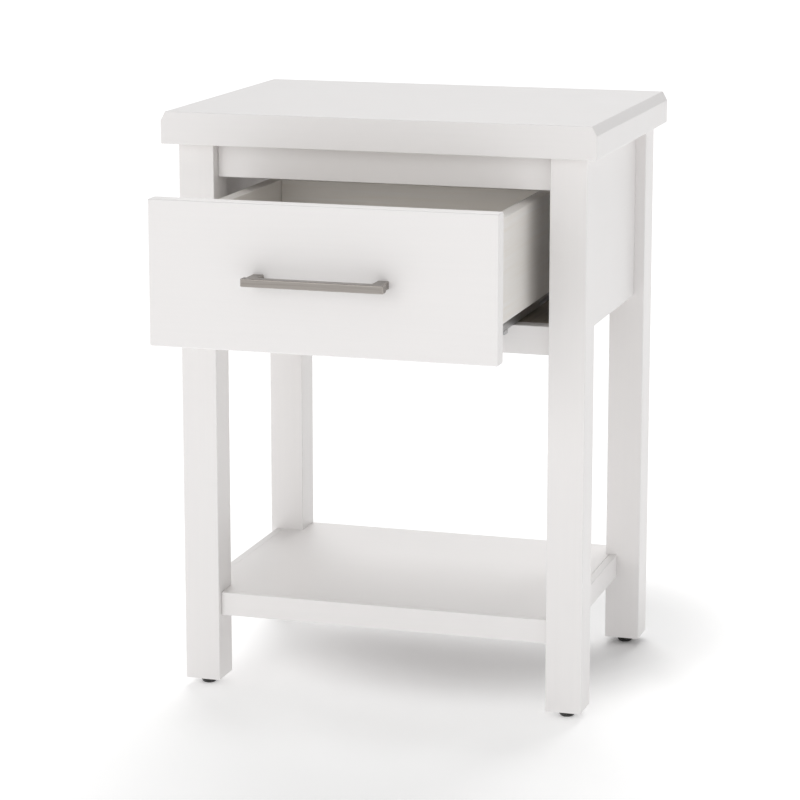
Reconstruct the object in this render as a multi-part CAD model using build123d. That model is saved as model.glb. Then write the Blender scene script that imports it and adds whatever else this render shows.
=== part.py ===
"""Side table with one drawer and a low shelf, modelled piece by piece.

Millimetres, +Z up, +X to the right seen from the front, the drawer opens towards -Y.
The origin is on the floor, under the middle of the whole table with its drawer standing open.
"""
from build123d import *
import os

# ---- driving dimensions ------------------------------------------------------------------
table_height = 613.0
top_width, top_depth, top_thickness = 456.0, 335.0, 33.5
top_front_overhang = 17.0
end_chamfer_width, end_chamfer_height = 5.0, 9.5
frame_width, frame_depth = 430.0, 312.0
leg_side = 38.0
edge_round = 1.0                     # eased edges on the painted pieces

glide_height, glide_radius, glide_foot_radius = 8.0, 8.5, 6.0
glide_pin_radius, glide_pin_length = 1.6, 14.0

rail_setback, rail_thickness = 12.5, 18.0
top_rail_height = 35.5
lower_rail_bottom, lower_rail_height = 377.0, 29.5
panel_setback, panel_thickness, panel_bottom = 11.5, 16.0, 395.0
back_setback, back_thickness = 3.0, 12.0
cleat_side, cleat_gap = 18.0, 2.0    # the cleat's end gap to the legs

shelf_top, shelf_thickness = 103.0, 25.0
shelf_front_setback = 7.0
shelf_left_setback, shelf_right_setback = 6.0, 25.5
lipping_width = 9.0

drawer_open = 180.0                  # how far the drawer stands open at rest
front_width, front_height, front_thickness = 350.0, 144.5, 18.0
front_bottom = 404.5
front_gap = 1.5                      # closed drawer front to the rails behind it
front_round = 1.5

box_width, box_height, box_length = 308.0, 104.0, 284.0
box_bottom = 426.5
box_wall, box_back_wall = 14.0, 12.0
bottom_recess, bottom_thickness, groove_depth = 13.0, 6.0, 5.0
fit_clearance = 0.1

bar_length, bar_depth, bar_height = 142.0, 10.0, 8.0
bar_projection, post_spacing, post_width = 28.0, 125.0, 11.0
screw_clearance = 0.1

slide_centre = 121.5                 # middle of each slide from the middle of the table
sheet = 1.2                          # steel of the slide members
cabinet_member_width, cabinet_member_height, cabinet_flange_width = 16.0, 23.0, 32.0
middle_member_width, middle_member_height = 26.0, 24.0
drawer_member_width, drawer_member_height = 36.0, 31.5
middle_member_rise = 26.5            # its top above the lower rail's
cabinet_member_start, cabinet_member_length = 26.0, 270.0    # starts are from the legs' front, drawer closed
middle_member_start, middle_member_length = 62.0, 230.0
drawer_member_start, drawer_member_length = 26.0, 265.0
member_slots = (30.0, 130.0, 230.0)  # screw slots from the drawer member's front end
slot_length, slot_width = 14.0, 4.5
lug_start, lug_length, lug_reach, lug_height = 91.0, 12.0, 9.0, 4.0
cage_sheet, cage_length, cage_height = 0.8, 80.0, 17.0
inner_cage_drop, outer_cage_rise = 2.0, 2.2                  # cage tops from the middle member's top
inner_cage_centre, outer_cage_centre = 156.0, 180.0
ball_radius, ball_spacing, ball_rise = 1.7, 17.0, 15.0       # ball centres above the lower rail's top
bearer_inner, bearer_height = 98.0, 12.0
clip_width, clip_length, clip_height = 17.0, 32.0, 14.0
clip_wall, clip_roof = 4.0, 8.0

# ---- places worked out from them -----------------------------------------------------------
top_bottom = table_height - top_thickness
lower_rail_top = lower_rail_bottom + lower_rail_height
half_frame = frame_width / 2
leg_inner = half_frame - leg_side
front_closed = rail_setback - front_gap - front_thickness    # face of the closed drawer front
lowest_y = front_closed - drawer_open - bar_projection
highest_y = top_depth - top_front_overhang
leg_front = -(lowest_y + highest_y) / 2      # puts the open table's middle over the origin
leg_back = leg_front + frame_depth
rail_front = leg_front + rail_setback
rail_back = rail_front + rail_thickness
back_inner = leg_back - back_setback - back_thickness
panel_middle = half_frame - panel_setback - panel_thickness / 2
panel_inner = half_frame - panel_setback - panel_thickness
front_face = leg_front + front_closed - drawer_open
box_start = front_face + front_thickness
box_end = box_start + box_length
box_inner = box_width / 2 - box_wall
bottom_under = box_bottom + bottom_recess
front_middle = front_bottom + front_height / 2
shelf_bottom = shelf_top - shelf_thickness
middle_member_top = lower_rail_top + middle_member_rise
half_travel, quarter_travel, long_travel = drawer_open / 2, drawer_open / 4, drawer_open * 3 / 4
sides = {"left": -1, "right": 1}

parts = {}


# ---- small tools ---------------------------------------------------------------------------
def block(x, y, z, easing=0.0):
    """A box between two bounds along each axis, with its edges eased."""
    solid = Pos((x[0] + x[1]) / 2, (y[0] + y[1]) / 2, (z[0] + z[1]) / 2) * Box(
        x[1] - x[0], y[1] - y[0], z[1] - z[0])
    return fillet(solid.edges(), easing) if easing else solid


def along_y(outline, start, end):
    """A bar with the given X, Z outline, from one Y to another."""
    wire = Wire.make_polygon([(x, start, z) for x, z in outline], close=True)
    return Solid.extrude(Face(wire), Vector(0, end - start, 0))


def between(side, near, far):
    """Bounds across the table, near and far from its middle, on one side of it."""
    return tuple(sorted((side * near, side * far)))


def rod(radius, length, place, axis):
    """A plain round rod from a place, along +X, +Y, -Y or +Z."""
    turn = {"x": Rot(0, 90, 0), "y": Rot(-90, 0, 0), "-y": Rot(90, 0, 0), "z": Rot(0, 0, 0)}[axis]
    return Pos(*place) * turn * Pos(0, 0, length / 2) * Cylinder(radius, length)


cross_span, cross_width, cross_depth = 4.8, 0.7, 2.4


def screw(radius, length, place, axis, grow=0.0):
    """A countersunk screw with a cross recess: its head starts at the place, its shank runs along the axis.
    With some growth it is the plain hole for that screw instead."""
    head = 2 * radius
    outline = [(0, 0), (head + grow, 0), (head + grow, 0.5), (radius + grow, head - radius + 0.5 + grow),
               (radius + grow, length + grow), (0, length + grow)]
    body = revolve(Face(Wire.make_polygon([(x, 0, z) for x, z in outline], close=True)), Axis.Z)
    if not grow:
        body = body - Box(cross_span, cross_width, cross_depth) - Box(cross_width, cross_span, cross_depth)
    turn = {"-y": Rot(90, 0, 0), "z": Rot(0, 0, 0), "-z": Rot(180, 0, 0)}[axis]
    return Pos(*place) * turn * body


def group(solids):
    """Separate solids kept in one node."""
    return Compound(children=[Solid(s.solid().wrapped) for s in solids])


# ---- where the fixings go ------------------------------------------------------------------
dowel_radius, dowel_length, dowel_depth = 4.0, 36.0, 16.0
dowel_inset, high_dowel_inset, low_dowel_inset = 7.0, 17.75, 17.0
shelf_dowel_radius, shelf_dowel_length, shelf_dowel_depth = 3.0, 24.0, 12.0
shelf_dowel_inset = 28.5
wood_screw_radius, slide_screw_radius, screw_bite = 2.0, 1.75, 12.0
slide_screw_length, slide_screw_rise = 10.0, 1.7
slide_screw_insets = (25.0, 35.0)            # from the lower rail and from the back panel
top_screw_spacing, top_screw_bite = 90.0, 16.0
front_screw_side, front_screw_low, front_screw_high = 120.0, 34.0, 18.0
handle_screw_bite = 9.0


def frame_dowels(grow=0.0):
    """Dowels that hold the rails, side panels and back panel to the legs."""
    radius, length = dowel_radius + grow, dowel_length + 2 * grow
    rods = []
    middle = (panel_bottom + top_bottom) / 2
    rail_heights = [top_bottom - top_rail_height + dowel_inset, top_bottom - dowel_inset,
                    lower_rail_bottom + dowel_inset, lower_rail_top - dowel_inset]
    side_heights = [panel_bottom + low_dowel_inset, middle, top_bottom - high_dowel_inset]
    across = [(rail_front + rail_thickness / 2, z) for z in rail_heights]
    across += [(back_inner + back_thickness / 2, z) for z in (panel_bottom, middle, top_bottom - 2 * dowel_inset)]
    for side in sides.values():
        start = leg_inner + dowel_depth - dowel_length if side > 0 else -leg_inner - dowel_depth
        rods += [rod(radius, length, (start - grow, y, z), "x") for y, z in across]
        for z in side_heights:
            for start in (leg_front + leg_side - dowel_depth,
                          leg_back - leg_side + dowel_depth - dowel_length):
                rods.append(rod(radius, length, (side * panel_middle, start - grow, z), "y"))
    return rods


def shelf_dowels(grow=0.0):
    """Dowels that hold the shelf between the legs."""
    rods = []
    for side in sides.values():
        depth = shelf_dowel_depth
        start = leg_inner + depth - shelf_dowel_length if side > 0 else -leg_inner - depth
        for y in (leg_front + shelf_dowel_inset, leg_back - shelf_dowel_inset):
            rods.append(rod(shelf_dowel_radius + grow, shelf_dowel_length + 2 * grow,
                            (start - grow, y, shelf_top - shelf_thickness / 2), "x"))
    return rods


def top_screws(grow=0.0):
    """Screws that rise through the cleats into the top."""
    middle = (leg_front + leg_back) / 2
    return [screw(wood_screw_radius, cleat_side + top_screw_bite,
                  (side * (panel_inner - cleat_side / 2), middle + along, top_bottom - cleat_side), "z", grow)
            for side in sides.values() for along in (-top_screw_spacing, 0, top_screw_spacing)]


def slide_screws(grow=0.0):
    """Screws that hold the fixed slide members down on their bearers."""
    near, far = slide_screw_insets
    return [screw(slide_screw_radius, slide_screw_length,
                  (side * slide_centre, y, lower_rail_top + slide_screw_rise), "-z", grow)
            for side in sides.values() for y in (rail_back + near, back_inner - far)]


def front_screws(grow=0.0):
    """Screws from inside the drawer box into the drawer front."""
    return [screw(wood_screw_radius, box_wall + screw_bite, (x, box_start + box_wall, z), "-y", grow)
            for x in (-front_screw_side, front_screw_side)
            for z in (box_bottom + front_screw_low, box_bottom + box_height - front_screw_high)]


def handle_screws(grow=0.0):
    """Machine screws from inside the drawer box into the handle's posts."""
    length = box_wall + front_thickness + handle_screw_bite
    return [screw(wood_screw_radius, length, (x, box_start + box_wall, front_middle), "-y", grow)
            for x in (-post_spacing / 2, post_spacing / 2)]


def without(solid, fixings):
    """The solid with a hole for each fixing that enters it."""
    bounds = solid.bounding_box()
    for fixing in fixings:
        box = fixing.bounding_box()
        if all(a0 < b1 and b0 < a1 for a0, a1, b0, b1 in zip(bounds.min, bounds.max, box.min, box.max)):
            solid = solid - fixing
    return solid


# ---- the carcass ---------------------------------------------------------------------------
def table_top():
    """A thick slab, plain at the front and back, with a steep chamfer along each end."""
    half = top_width / 2
    shoulder = table_height - end_chamfer_height
    outline = [(-half, top_bottom), (half, top_bottom), (half, shoulder),
               (half - end_chamfer_width, table_height), (-half + end_chamfer_width, table_height),
               (-half, shoulder)]
    slab = along_y(outline, leg_front - top_front_overhang, leg_front - top_front_overhang + top_depth)
    return without(fillet(slab.edges(), edge_round), top_screws(screw_clearance))


def leg(side, row_start):
    """A square leg, bored for its dowels and for the pin of its glide."""
    body = block(between(side, leg_inner, half_frame), (row_start, row_start + leg_side),
                 (glide_height, top_bottom), edge_round)
    pin = rod(glide_pin_radius + fit_clearance, glide_pin_length + fit_clearance,
              (side * (half_frame - leg_side / 2), row_start + leg_side / 2, glide_height), "z")
    return without(body, frame_dowels(fit_clearance) + shelf_dowels(fit_clearance) + [pin])


def glide(side, row_start):
    """A low domed foot with a nail that is driven up into the leg."""
    pin_top = glide_height + glide_pin_length
    profile = Polyline((0, 0), (glide_foot_radius, 0)) + ThreePointArc(
        (glide_foot_radius, 0), (glide_radius - 0.7, 1.7), (glide_radius, glide_height)) + Polyline(
        (glide_radius, glide_height), (glide_pin_radius, glide_height), (glide_pin_radius, pin_top),
        (0, pin_top), (0, 0))
    body = revolve(make_face(Plane.XZ * profile), Axis.Z)
    return Pos(side * (half_frame - leg_side / 2), row_start + leg_side / 2, 0) * body


def carcass_board(x, y, z):
    """A painted board of the carcass, bored for the dowels in its ends."""
    return without(block(x, y, z, edge_round), frame_dowels(fit_clearance))


def top_cleat(side):
    """A batten inside a side panel that the top is screwed to."""
    batten = block(between(side, panel_inner - cleat_side, panel_inner),
                   (leg_front + leg_side + cleat_gap, leg_back - leg_side - cleat_gap),
                   (top_bottom - cleat_side, top_bottom))
    return without(batten, top_screws(screw_clearance))


def slide_bearer(side):
    """A thin wide batten between the legs, from the lower rail to the back panel, that carries a slide."""
    batten = block(between(side, bearer_inner, leg_inner),
                   (rail_back, back_inner), (lower_rail_top - bearer_height, lower_rail_top))
    return without(batten, slide_screws(screw_clearance))


# ---- the shelf -----------------------------------------------------------------------------
shelf_left = -half_frame + shelf_left_setback
shelf_right = half_frame - shelf_right_setback
shelf_front = leg_front + shelf_front_setback


def shelf_panel():
    """The shelf's board, notched round the four legs."""
    height = (shelf_bottom, shelf_top)
    wide = block((shelf_left + lipping_width, shelf_right - lipping_width),
                 (leg_front + leg_side, leg_back - leg_side), height)
    long = block((-leg_inner, leg_inner), (shelf_front + lipping_width, leg_back - lipping_width), height)
    return without(wide + long, shelf_dowels(fit_clearance))


def shelf_lipping(x, y):
    """A solid strip along one edge of the shelf."""
    return block(x, y, (shelf_bottom, shelf_top), edge_round)


# ---- the drawer ----------------------------------------------------------------------------
def drawer_front():
    """The visible front, with softly rounded edges all round."""
    board = block((-front_width / 2, front_width / 2), (front_face, front_face + front_thickness),
                  (front_bottom, front_bottom + front_height), front_round)
    return without(board, front_screws(screw_clearance) + handle_screws(screw_clearance))


def drawer_side(side):
    """A side of the drawer box, grooved near its lower edge for the bottom."""
    wall = block(between(side, box_inner, box_width / 2), (box_start, box_end),
                 (box_bottom, box_bottom + box_height), edge_round)
    groove = block(between(side, box_inner - 1, box_inner + groove_depth),
                   (box_start - 1, box_end + 1), (bottom_under, bottom_under + bottom_thickness))
    return wall - groove


def drawer_box_front():
    """The inner front of the box, behind the drawer front."""
    wall = block((-box_inner, box_inner), (box_start, box_start + box_wall),
                 (box_bottom, box_bottom + box_height), edge_round)
    groove = block((-box_inner, box_inner), (box_start + box_wall - groove_depth, box_start + box_wall),
                   (bottom_under, bottom_under + bottom_thickness))
    return without(wall - groove, front_screws(screw_clearance) + handle_screws(screw_clearance))


def drawer_back():
    """The back of the box, which stands on the bottom."""
    return block((-box_inner, box_inner), (box_end - box_back_wall, box_end),
                 (bottom_under + bottom_thickness, box_bottom + box_height), edge_round)


def drawer_bottom():
    """A thin board held in the grooves of the box."""
    half = box_inner + groove_depth - fit_clearance
    return block((-half, half), (box_start + box_wall - groove_depth + fit_clearance, box_end),
                 (bottom_under, bottom_under + bottom_thickness))


def handle_bar():
    """A flat bar with softened edges."""
    front = front_face - bar_projection
    return block((-bar_length / 2, bar_length / 2), (front, front + bar_depth),
                 (front_middle - bar_height / 2, front_middle + bar_height / 2), edge_round)


def handle_post(side):
    """A short post from the drawer front to the bar, tapped for its screw."""
    middle = side * post_spacing / 2
    post = block((middle - post_width / 2, middle + post_width / 2),
                 (front_face - bar_projection + bar_depth, front_face),
                 (front_middle - bar_height / 2, front_middle + bar_height / 2))
    post = fillet(post.edges().filter_by(Axis.Y), edge_round)
    return without(post, handle_screws(screw_clearance))


# ---- the slides ----------------------------------------------------------------------------
def hat(side, width, top, bottom, thickness):
    """The outline of an inverted channel on one side of the table."""
    middle, outer = side * slide_centre, width / 2
    inner = outer - thickness
    return [(middle - outer, bottom), (middle - outer, top), (middle + outer, top), (middle + outer, bottom),
            (middle + inner, bottom), (middle + inner, top - thickness),
            (middle - inner, top - thickness), (middle - inner, bottom)]


def cabinet_member(side):
    """The fixed member: a flange on the bearer and an open channel that stands up from it."""
    middle, outer, flange = side * slide_centre, cabinet_member_width / 2, cabinet_flange_width / 2
    inner, base = outer - sheet, lower_rail_top
    top = base + cabinet_member_height
    outline = [(middle - flange, base), (middle + flange, base), (middle + flange, base + sheet),
               (middle + outer, base + sheet), (middle + outer, top), (middle + inner, top),
               (middle + inner, base + sheet), (middle - inner, base + sheet), (middle - inner, top),
               (middle - outer, top), (middle - outer, base + sheet), (middle - flange, base + sheet)]
    start = leg_front + cabinet_member_start
    return without(along_y(outline, start, start + cabinet_member_length), slide_screws(screw_clearance))


def middle_member(side):
    """The member between the fixed one and the drawer's."""
    start = leg_front + middle_member_start - half_travel
    bottom = middle_member_top - middle_member_height
    return along_y(hat(side, middle_member_width, middle_member_top, bottom, sheet),
                   start, start + middle_member_length)


def drawer_member(side):
    """The member under the drawer's bottom: slots in its top for screws and a bent lug on its outer wall."""
    start = leg_front + drawer_member_start - drawer_open
    member = along_y(hat(side, drawer_member_width, bottom_under, bottom_under - drawer_member_height, sheet),
                     start, start + drawer_member_length)
    outer = slide_centre + drawer_member_width / 2
    floor = lower_rail_top + lug_height
    lug = [(outer - sheet / 2, floor), (outer + lug_reach, floor), (outer + lug_reach, floor + lug_height),
           (outer + lug_reach - sheet, floor + lug_height), (outer + lug_reach - sheet, floor + sheet),
           (outer - sheet / 2, floor + sheet)]
    member += along_y([(side * x, z) for x, z in lug], start + lug_start, start + lug_start + lug_length)
    slots = [Pos(side * slide_centre, start + place, bottom_under) * extrude(
        SlotOverall(slot_length, slot_width, rotation=90), 2 * sheet, both=True) for place in member_slots]
    return without(member, slots)


def race_offset(inner_width, outer_width):
    """The middle of the gap between two nested members, from the slide's middle."""
    return (inner_width / 2 + outer_width / 2 - sheet) / 2


def ball_places(centre, offset):
    """Ball centres in both races of both slides."""
    rows = [side * slide_centre + race * offset for side in sides.values() for race in (-1, 1)]
    height = lower_rail_top + ball_rise
    return [(x, centre + step * ball_spacing, height) for x in rows for step in range(-2, 3)]


def balls(centre, offset, grow=0.0):
    """The balls of both slides at one level."""
    return [Pos(*place) * Sphere(ball_radius + grow) for place in ball_places(centre, offset)]


def cage(side, centre, offset, top):
    """A thin inverted channel with a round window for each ball."""
    strip = along_y(hat(side, 2 * offset + cage_sheet, top, top - cage_height, cage_sheet),
                    centre - cage_length / 2, centre + cage_length / 2)
    windows = [rod(ball_radius + fit_clearance, 2 * ball_radius, (x - ball_radius, y, z), "x")
               for x, y, z in ball_places(centre, offset) if x * side > 0]
    return without(strip, windows)


def locking_clip(side):
    """The catch at the front of a slide: a body under the drawer's bottom with a release lever."""
    near = slide_centre - drawer_member_width / 2 - clip_width
    start, top = box_start + box_wall, bottom_under
    body = block(between(side, near, near + clip_width), (start, start + clip_length),
                 (top - clip_height, top))
    slot = block(between(side, near + clip_wall, near + clip_width - clip_wall),
                 (start + clip_roof, start + clip_length), (top - clip_height, top - clip_roof))
    return body - slot


# ---- every piece, by name --------------------------------------------------------------------
rows = {"front": leg_front, "rear": leg_back - leg_side}
inner_centre = leg_front + inner_cage_centre - quarter_travel
outer_centre = leg_front + outer_cage_centre - long_travel
inner_offset = race_offset(cabinet_member_width, middle_member_width)
outer_offset = race_offset(middle_member_width, drawer_member_width)
inner_top, outer_top = middle_member_top - inner_cage_drop, middle_member_top + outer_cage_rise

parts["table_top"] = table_top()
for row, start in rows.items():
    for name, side in sides.items():
        parts[f"{row}_{name}_leg"] = leg(side, start)
        parts[f"{row}_{name}_glide"] = glide(side, start)

between_legs = (-leg_inner, leg_inner)
rail_depth = (rail_front, rail_back)
parts["front_top_rail"] = carcass_board(between_legs, rail_depth, (top_bottom - top_rail_height, top_bottom))
parts["front_lower_rail"] = carcass_board(between_legs, rail_depth, (lower_rail_bottom, lower_rail_top))
parts["back_panel"] = carcass_board(between_legs, (back_inner, back_inner + back_thickness),
                                    (lower_rail_bottom, top_bottom))
for name, side in sides.items():
    parts[f"{name}_side_panel"] = carcass_board(
        between(side, panel_inner, panel_inner + panel_thickness),
        (leg_front + leg_side, leg_back - leg_side), (panel_bottom, top_bottom))
    parts[f"{name}_top_cleat"] = top_cleat(side)
    parts[f"{name}_slide_bearer"] = slide_bearer(side)
    parts[f"{name}_slide_cabinet_member"] = cabinet_member(side)
    parts[f"{name}_slide_middle_member"] = middle_member(side)
    parts[f"{name}_slide_drawer_member"] = drawer_member(side)
    parts[f"{name}_inner_ball_cage"] = cage(side, inner_centre, inner_offset, inner_top)
    parts[f"{name}_outer_ball_cage"] = cage(side, outer_centre, outer_offset, outer_top)
    parts[f"{name}_locking_clip"] = locking_clip(side)
    parts[f"drawer_{name}_side"] = drawer_side(side)
    parts[f"{name}_handle_post"] = handle_post(side)

parts["shelf_panel"] = shelf_panel()
parts["shelf_front_lipping"] = shelf_lipping(between_legs, (shelf_front, shelf_front + lipping_width))
parts["shelf_back_lipping"] = shelf_lipping(between_legs, (leg_back - lipping_width, leg_back))
between_rows = (leg_front + leg_side, leg_back - leg_side)
parts["shelf_left_lipping"] = shelf_lipping((shelf_left, shelf_left + lipping_width), between_rows)
parts["shelf_right_lipping"] = shelf_lipping((shelf_right - lipping_width, shelf_right), between_rows)

parts["drawer_front"] = drawer_front()
parts["drawer_box_front"] = drawer_box_front()
parts["drawer_back"] = drawer_back()
parts["drawer_bottom"] = drawer_bottom()
parts["handle_bar"] = handle_bar()

parts["frame_dowels"] = group(frame_dowels())
parts["shelf_dowels"] = group(shelf_dowels())
parts["top_screws"] = group(top_screws())
parts["slide_screws"] = group(slide_screws())
parts["drawer_front_screws"] = group(front_screws())
parts["handle_screws"] = group(handle_screws())
parts["inner_slide_balls"] = group(balls(inner_centre, inner_offset))
parts["outer_slide_balls"] = group(balls(outer_centre, outer_offset))

os.makedirs("parts", exist_ok=True)
for name, shape in parts.items():
    shape.label = name
    export_step(shape, f"parts/{name}.step")
print(len(parts), "nodes; leg front face at y =", leg_front)
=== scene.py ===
"""Looks of the side table: paint, metal, wood and plastic finishes, a pale floor, soft light and the camera.

Every length is in metres, in the frame of the CAD model: +Z up, the drawer opens towards -Y.
"""
import math

import bpy
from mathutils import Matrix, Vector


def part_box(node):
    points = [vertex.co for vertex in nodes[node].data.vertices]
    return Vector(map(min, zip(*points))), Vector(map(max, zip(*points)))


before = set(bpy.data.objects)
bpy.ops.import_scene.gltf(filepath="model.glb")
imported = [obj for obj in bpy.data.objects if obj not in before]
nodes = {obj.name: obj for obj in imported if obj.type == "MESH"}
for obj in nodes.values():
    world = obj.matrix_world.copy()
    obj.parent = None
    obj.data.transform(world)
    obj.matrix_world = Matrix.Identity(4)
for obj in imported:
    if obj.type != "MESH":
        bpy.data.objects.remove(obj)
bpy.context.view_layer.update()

mm = 0.001

# ---- colours, as linear red, green and blue ----
white_paint = (0.866, 0.848, 0.841)
box_lacquer = (0.870, 0.852, 0.825)
nickel = (0.345, 0.321, 0.300)
zinc = (0.560, 0.565, 0.570)
cage_zinc = (0.50, 0.50, 0.50)
slide_dust = (0.46, 0.455, 0.44)
polished_steel = (0.720, 0.720, 0.725)
screw_plate = (0.520, 0.470, 0.350)
pale_wood, dark_wood = (0.360, 0.315, 0.262), (0.240, 0.202, 0.165)
black_rubber = (0.022, 0.021, 0.020)
grey_nylon = (0.270, 0.275, 0.280)
floor_white = (0.930, 0.930, 0.930)
black, white = (0.0, 0.0, 0.0), (1.0, 1.0, 1.0)

# ---- depths of relief, how far wear reaches in from an edge, and how far the painted highlight on metal edges reaches ----
paint_edge, metal_highlight_reach = 2.2 * mm, 1.6 * mm
peel_depth, paint_grain_depth, nib_depth = 0.035 * mm, 0.030 * mm, 0.045 * mm
lacquer_grain_depth, lacquer_pore_depth, wood_pore_depth = 0.035 * mm, 0.020 * mm, 0.05 * mm
brushing_depth, rolling_depth, grease_depth = 0.012 * mm, 0.02 * mm, 0.004 * mm
plating_depth, moulding_depth = 0.02 * mm, 0.03 * mm

# ---- base roughness ----
paint_roughness, lacquer_roughness, wood_roughness = 0.36, 0.44, 0.62
bar_roughness, post_roughness = 0.30, 0.34
slide_roughness, cage_roughness, ball_roughness, screw_roughness = 0.38, 0.30, 0.10, 0.30
rubber_roughness, nylon_roughness, floor_roughness = 0.42, 0.46, 0.9


# ---- a small language for finishes -------------------------------------------------------
class Flow:
    """Something that varies over a surface. Arithmetic on it adds Math nodes to its finish."""

    def __init__(self, finish, socket):
        self.finish, self.socket = finish, socket

    def _math(self, operation, first, second):
        return self.finish.node("ShaderNodeMath", {"operation": operation}, {0: first, 1: second})

    def __add__(self, other):
        return self._math("ADD", self, other)

    def __radd__(self, other):
        return self._math("ADD", other, self)

    def __sub__(self, other):
        return self._math("SUBTRACT", self, other)

    def __rsub__(self, other):
        return self._math("SUBTRACT", other, self)

    def __mul__(self, other):
        return self._math("MULTIPLY", self, other)

    def __rmul__(self, other):
        return self._math("MULTIPLY", other, self)

    def least(self, other):
        return self._math("MINIMUM", self, other)

    def most(self, other):
        return self._math("MAXIMUM", self, other)


class Finish:
    """A material under construction, with one method that adds any node."""

    def __init__(self, name):
        self.material = bpy.data.materials.new(name)
        self.material.use_nodes = True
        self.tree = self.material.node_tree
        self.tree.nodes.clear()

    def node(self, kind, settings=None, inputs=None, output=0):
        made = self.tree.nodes.new(kind)
        for name, value in (settings or {}).items():
            setattr(made, name, value)
        for name, value in (inputs or {}).items():
            if isinstance(value, Flow):
                self.tree.links.new(value.socket, made.inputs[name])
            else:
                made.inputs[name].default_value = value
        return Flow(self, made.outputs[output] if made.outputs else None)

    # places on the piece
    def place(self):
        return self.node("ShaderNodeTexCoord", output="Object")

    def stretched(self, scale):
        """The place on the piece, scaled apart along X, Y and Z."""
        return self.node("ShaderNodeMapping", {"vector_type": "POINT"},
                         {"Vector": self.place(), "Scale": scale})

    def split(self):
        apart = self.node("ShaderNodeSeparateXYZ", inputs={0: self.place()}).socket.node
        return [Flow(self, socket) for socket in apart.outputs]

    # patterns, each from 0 to 1
    def noise(self, where, scale=1.0, detail=2.0, roughness=0.5, distortion=0.0):
        return self.node("ShaderNodeTexNoise", {"normalize": True},
                         {"Vector": where, "Scale": scale, "Detail": detail, "Roughness": roughness,
                          "Distortion": distortion})

    def grain(self, lengthways, fine, coarse, **settings):
        """Noise drawn out along the board: coarse that way, fine across it."""
        scale = tuple(coarse if axis == lengthways else fine for axis in "xyz")
        return self.noise(self.stretched(scale), **settings)

    def cells(self, where, scale, output="Distance"):
        return self.node("ShaderNodeTexVoronoi", {"feature": "F1"}, {"Vector": where, "Scale": scale}, output)

    def fade(self, value, start, end, low=0.0, high=1.0):
        """A smooth step from low at start to high at end."""
        return self.node("ShaderNodeMapRange", {"interpolation_type": "SMOOTHSTEP"},
                         {"Value": value, "From Min": start, "From Max": end, "To Min": low, "To Max": high})

    # colours and relief
    def tint(self, amount, first, second):
        """The first colour, going over to the second as amount goes from 0 to 1."""
        made = self.node("ShaderNodeMix", {"data_type": "RGBA"}, {0: amount}, 2)
        for index, value in ((6, first), (7, second)):
            if isinstance(value, Flow):
                self.tree.links.new(value.socket, made.socket.node.inputs[index])
            else:
                made.socket.node.inputs[index].default_value = (*value, 1.0)
        return made

    def relief(self, height, depth, under=None):
        """A Bump node: height from 0 to 1 stands depth metres proud."""
        inputs = {"Height": height, "Distance": depth, "Strength": 1.0}
        if under is not None:
            inputs["Normal"] = under
        return self.node("ShaderNodeBump", inputs=inputs)

    def surface(self, **sockets):
        """The shader and the output. Sockets are named in lower case with underscores."""
        inputs = {name.replace("_", " ").title().replace("Ior", "IOR"): value for name, value in sockets.items()}
        shader = self.node("ShaderNodeBsdfPrincipled", inputs=inputs)
        self.node("ShaderNodeOutputMaterial", inputs={"Surface": shader})
        return self.material


def shade(colour, *tones):
    """A colour times one tone, or times a tone each for red, green and blue."""
    return tuple(part * tone for part, tone in zip(colour, tones if len(tones) == 3 else tones * 3))


def brighter(colour, tone, limit):
    """A colour times a tone, with each part held to the limit."""
    return tuple(min(part, limit) for part in shade(colour, tone))


def edge_mask(finish, node, reach):
    """1 along the twelve edges of a board, falling to 0 within reach metres of them."""
    low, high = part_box(node)
    near = []
    for place, start, end in zip(finish.split(), low, high):
        inset = (place - start).least(end - place)
        near.append(finish.fade(inset, 0.0, reach, 1.0, 0.0))
    x, y, z = near
    return (x * y).most(y * z).most(x * z)


# ---- finishes ----------------------------------------------------------------------------
def satin_paint(node, lengthways):
    """Sprayed satin paint over sanded timber: orange peel, faint raised grain, rubbed edges, a few nibs."""
    finish = Finish(f"satin_paint_{node}")
    place = finish.place()
    drift = finish.noise(place, scale=5.0, detail=3.0)
    grain = finish.grain(lengthways, 260.0, 7.0, detail=4.0, roughness=0.6, distortion=0.4)
    peel = finish.noise(place, scale=620.0, detail=2.0, roughness=0.45)
    haze = finish.noise(place, scale=38.0, detail=4.0, roughness=0.6)
    nibs = finish.fade(finish.cells(place, scale=95.0), 0.02, 0.07, 1.0, 0.0)
    edges = edge_mask(finish, node, paint_edge)
    broken = finish.fade(finish.noise(place, scale=210.0, detail=3.0, roughness=0.65), 0.42, 0.62)
    rubbed = edges * broken

    warm = shade(white_paint, 0.988, 0.980, 0.974)
    cool = shade(white_paint, 1.008, 1.010, 1.012)
    base = finish.tint(drift, warm, cool)
    streaked = finish.tint(finish.fade(grain, 0.30, 0.75) * 0.22, base, shade(white_paint, 0.955))
    worn = finish.tint(rubbed * 0.30, streaked, brighter(white_paint, 1.06, limit=0.88))

    shine = paint_roughness + (haze - 0.5) * 0.10 + (peel - 0.5) * 0.06 - rubbed * 0.06
    bump = finish.relief(peel, peel_depth)
    bump = finish.relief(grain, paint_grain_depth, bump)
    bump = finish.relief(nibs, nib_depth, bump)
    return finish.surface(base_color=worn, roughness=shine, normal=bump, ior=1.47, coat_weight=0.08,
                          coat_roughness=0.22)


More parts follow.
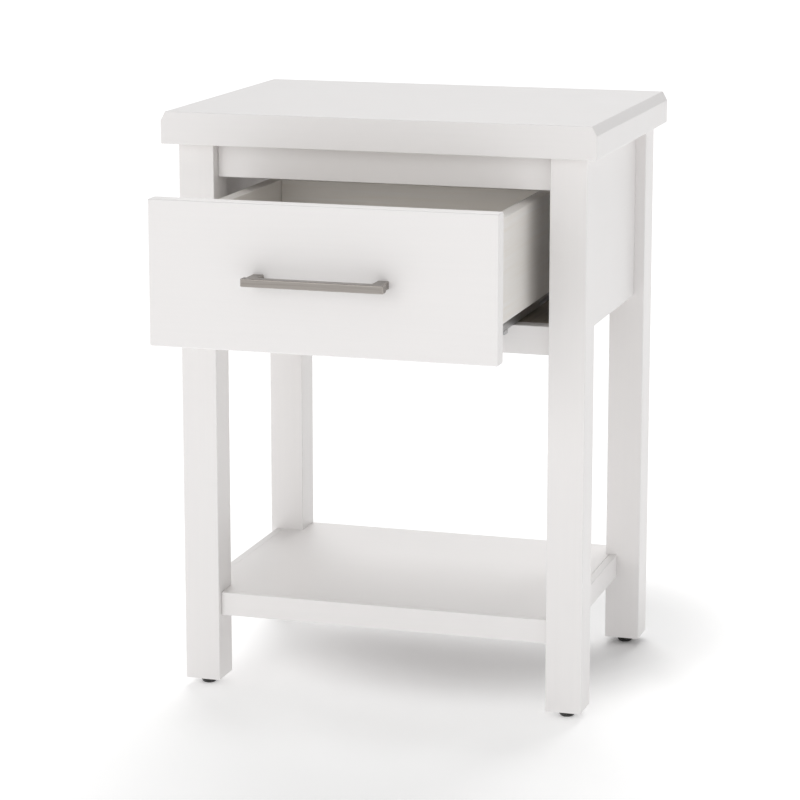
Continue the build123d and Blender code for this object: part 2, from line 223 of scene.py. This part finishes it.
def box_finish(node, lengthways):
    """Thin lacquer inside the drawer, where the grain shows more."""
    finish = Finish(f"box_lacquer_{node}")
    place = finish.place()
    grain = finish.grain(lengthways, 190.0, 5.0, detail=5.0, roughness=0.62, distortion=0.5)
    drift = finish.noise(place, scale=9.0, detail=3.0)
    pores = finish.grain(lengthways, 900.0, 60.0)
    base = finish.tint(finish.fade(grain, 0.25, 0.80), box_lacquer, shade(box_lacquer, 0.97, 0.94, 0.90))
    aged = finish.tint(drift * 0.35, base, shade(box_lacquer, 0.95))
    bump = finish.relief(grain, lacquer_grain_depth)
    bump = finish.relief(pores, lacquer_pore_depth, bump)
    return finish.surface(base_color=aged, roughness=lacquer_roughness + (pores - 0.5) * 0.14, normal=bump)


def bare_wood(node, lengthways):
    """Sanded beech: rings along the grain, short dark pores."""
    finish = Finish(f"bare_wood_{node}")
    rings = finish.grain(lengthways, 95.0, 3.5, detail=5.0, roughness=0.6, distortion=1.2)
    pores = finish.fade(finish.grain(lengthways, 1500.0, 110.0), 0.60, 0.72)
    base = finish.tint(finish.fade(rings, 0.32, 0.70), pale_wood, dark_wood)
    flecked = finish.tint(pores * 0.45, base, shade(dark_wood, 0.55))
    return finish.surface(base_color=flecked, roughness=wood_roughness + (rings - 0.5) * 0.15,
                          normal=finish.relief(1.0 - pores, wood_pore_depth))


def brushed_nickel(node, lengthways, roughness):
    """Nickel drawn along one direction: long fine scratches, a slow change of tone, edges a little glossier and
    tinted paler as a painted highlight.
    """
    finish = Finish(f"brushed_{node}")
    fine = finish.grain(lengthways, 5200.0, 26.0, detail=3.0, roughness=0.55)
    broad = finish.grain(lengthways, 1100.0, 9.0)
    stain = finish.noise(finish.place(), scale=60.0, detail=3.0)
    edges = edge_mask(finish, node, metal_highlight_reach)
    lines = fine * 0.6 + broad * 0.4
    base = finish.tint(finish.fade(lines, 0.30, 0.70), shade(nickel, 0.68), nickel)
    toned = finish.tint(stain * 0.25, base, shade(nickel, 1.04, 0.98, 0.92))
    # painted highlight: the edges are tinted paler, standing in for light caught along them
    edge_highlighted = finish.tint(edges * 0.60, toned, brighter(nickel, 1.35, limit=1.0))
    return finish.surface(base_color=edge_highlighted, metallic=1.0, anisotropic=0.5,
                          roughness=roughness + (lines - 0.5) * 0.16 - edges * 0.05,
                          normal=finish.relief(lines, brushing_depth))


def zinc_plate(node, colour, roughness):
    """Zinc plated sheet: faint spangle, roll lines along the slide, a thin film of dust."""
    finish = Finish(f"zinc_{node}")
    place = finish.place()
    spangle = finish.node("ShaderNodeRGBToBW", inputs={0: finish.cells(place, scale=150.0, output="Color")})
    rolled = finish.grain("y", 2600.0, 14.0)
    film = finish.noise(place, scale=45.0, detail=4.0, roughness=0.6)
    base = finish.tint(spangle * 0.45, colour, shade(colour, 0.80))
    dusty = finish.tint(finish.fade(film, 0.45, 0.75) * 0.35, base, slide_dust)
    return finish.surface(base_color=dusty, metallic=0.92, normal=finish.relief(rolled, rolling_depth),
                          roughness=roughness + (spangle - 0.5) * 0.10 + (film - 0.5) * 0.10)


def polished_balls(node):
    """Bearing steel with a film of grease."""
    finish = Finish(f"ball_steel_{node}")
    film = finish.noise(finish.place(), scale=700.0, detail=3.0)
    base = finish.tint(film, shade(polished_steel, 0.82), polished_steel)
    return finish.surface(base_color=base, metallic=1.0, roughness=ball_roughness + film * 0.12,
                          normal=finish.relief(film, grease_depth))


def screw_steel(node):
    """Yellow passivated zinc, patchy in tone."""
    finish = Finish(f"screw_steel_{node}")
    patch = finish.noise(finish.place(), scale=420.0, detail=3.0)
    base = finish.tint(patch, screw_plate, shade(screw_plate, 0.8, 0.86, 1.1))
    return finish.surface(base_color=base, metallic=0.95, roughness=screw_roughness + patch * 0.18,
                          normal=finish.relief(patch, plating_depth))


def moulded(node, colour, roughness):
    """Moulded plastic or rubber: spark-eroded texture, and scuffs that are paler and shinier."""
    finish = Finish(f"moulded_{node}")
    place = finish.place()
    pits = finish.cells(place, scale=2600.0)
    scuffs = finish.fade(finish.noise(place, scale=240.0, detail=4.0, roughness=0.7), 0.55, 0.75)
    base = finish.tint(scuffs * 0.5, colour, tuple(part * 1.5 + 0.01 for part in colour))
    return finish.surface(base_color=base, roughness=roughness - scuffs * 0.12 + (pits - 0.5) * 0.08,
                          normal=finish.relief(pits, moulding_depth))


# ---- which piece wears what --------------------------------------------------------------
def wear(node, finish, *details):
    """Gives a node a finish of its own."""
    slots = nodes[node].data.materials
    material = finish(node, *details)
    if not slots:
        slots.append(material)
    for index in range(len(slots)):
        slots[index] = material


painted = {"table_top": "x", "front_top_rail": "x", "front_lower_rail": "x", "back_panel": "x",
           "left_side_panel": "y", "right_side_panel": "y", "shelf_panel": "x", "shelf_front_lipping": "x",
           "shelf_back_lipping": "x", "shelf_left_lipping": "y", "shelf_right_lipping": "y", "drawer_front": "x"}
lacquered = {"drawer_box_front": "x", "drawer_back": "x", "drawer_bottom": "x", "drawer_left_side": "y",
             "drawer_right_side": "y"}

for node, lengthways in painted.items():
    wear(node, satin_paint, lengthways)
for row in ("front", "rear"):
    for side in ("left", "right"):
        wear(f"{row}_{side}_leg", satin_paint, "z")
        wear(f"{row}_{side}_glide", moulded, black_rubber, rubber_roughness)
for node, lengthways in lacquered.items():
    wear(node, box_finish, lengthways)
for side in ("left", "right"):
    for member in ("cabinet", "middle", "drawer"):
        wear(f"{side}_slide_{member}_member", zinc_plate, zinc, slide_roughness)
    for level in ("inner", "outer"):
        wear(f"{side}_{level}_ball_cage", zinc_plate, cage_zinc, cage_roughness)
    wear(f"{side}_top_cleat", bare_wood, "y")
    wear(f"{side}_slide_bearer", bare_wood, "y")
    wear(f"{side}_locking_clip", moulded, grey_nylon, nylon_roughness)
    wear(f"{side}_handle_post", brushed_nickel, "y", post_roughness)
wear("handle_bar", brushed_nickel, "x", bar_roughness)
for level in ("inner", "outer"):
    wear(f"{level}_slide_balls", polished_balls)
wear("frame_dowels", bare_wood, "y")
wear("shelf_dowels", bare_wood, "x")
for node in ("top_screws", "slide_screws", "drawer_front_screws", "handle_screws"):
    wear(node, screw_steel)


# ---- floor, light and camera ---------------------------------------------------------------
def put(name, data):
    """Adds an object to the scene."""
    holder = bpy.data.objects.new(name, data)
    bpy.context.scene.collection.objects.link(holder)
    return holder


def pale_floor():
    """A wide white floor, matt and faintly uneven, that glows a little except under the back of the table."""
    reach = 12.0
    shadow_across, shadow_deep = 0.05, 0.26
    mesh = bpy.data.meshes.new("floor")
    mesh.from_pydata([(-reach, -reach, 0), (reach, -reach, 0), (reach, reach, 0), (-reach, reach, 0)], [],
                     [(0, 1, 2, 3)])
    floor = put("floor", mesh)
    finish = Finish("floor_paper")
    cloud = finish.noise(finish.place(), scale=3.0)
    base = finish.tint(cloud * 0.3, floor_white, shade(floor_white, 0.99))
    across, deep, _ = finish.split()
    across, deep = across - shadow_across, deep - shadow_deep
    squared_distance = across * across + deep * deep
    glow = finish.tint(finish.fade(squared_distance, 0.02, 0.10), black, white)
    mesh.materials.append(finish.surface(base_color=base, roughness=floor_roughness, specular_ior_level=0.0,
                                         emission_color=glow, emission_strength=0.28))


def sun(name, azimuth, elevation, strength, softness):
    """A soft distant light. Azimuth 0 shines along +Y, from the front; positive comes from the right."""
    lamp = bpy.data.lights.new(name, "SUN")
    lamp.energy, lamp.angle = strength, math.radians(softness)
    put(name, lamp).rotation_euler = (math.radians(90 - elevation), 0.0, math.radians(azimuth))


def studio():
    """White surroundings, a low soft light from the front and a stronger one from high behind."""
    world = bpy.data.worlds.new("studio")
    world.use_nodes = True
    background = world.node_tree.nodes["Background"]
    background.inputs["Color"].default_value = (*white, 1.0)
    background.inputs["Strength"].default_value = 0.53
    bpy.context.scene.world = world
    sun("key", azimuth=-16.0, elevation=12.0, strength=0.63, softness=40.0)
    sun("back", azimuth=-172.0, elevation=48.0, strength=1.45, softness=45.0)
    bpy.context.scene.view_settings.view_transform = "Standard"


def camera():
    """A long lens at the front right, a little above the top."""
    turned_left, tilted_down = 16.917, 11.066
    lens = bpy.data.cameras.new("camera")
    lens.lens, lens.sensor_width, lens.shift_y = 129.585, 36.0, -0.075
    holder = put("camera", lens)
    holder.location = (0.8559, -2.7928, 0.9470)
    holder.rotation_euler = (math.radians(90 - tilted_down), 0.0, math.radians(turned_left))
    bpy.context.scene.camera = holder


pale_floor()
studio()
camera()
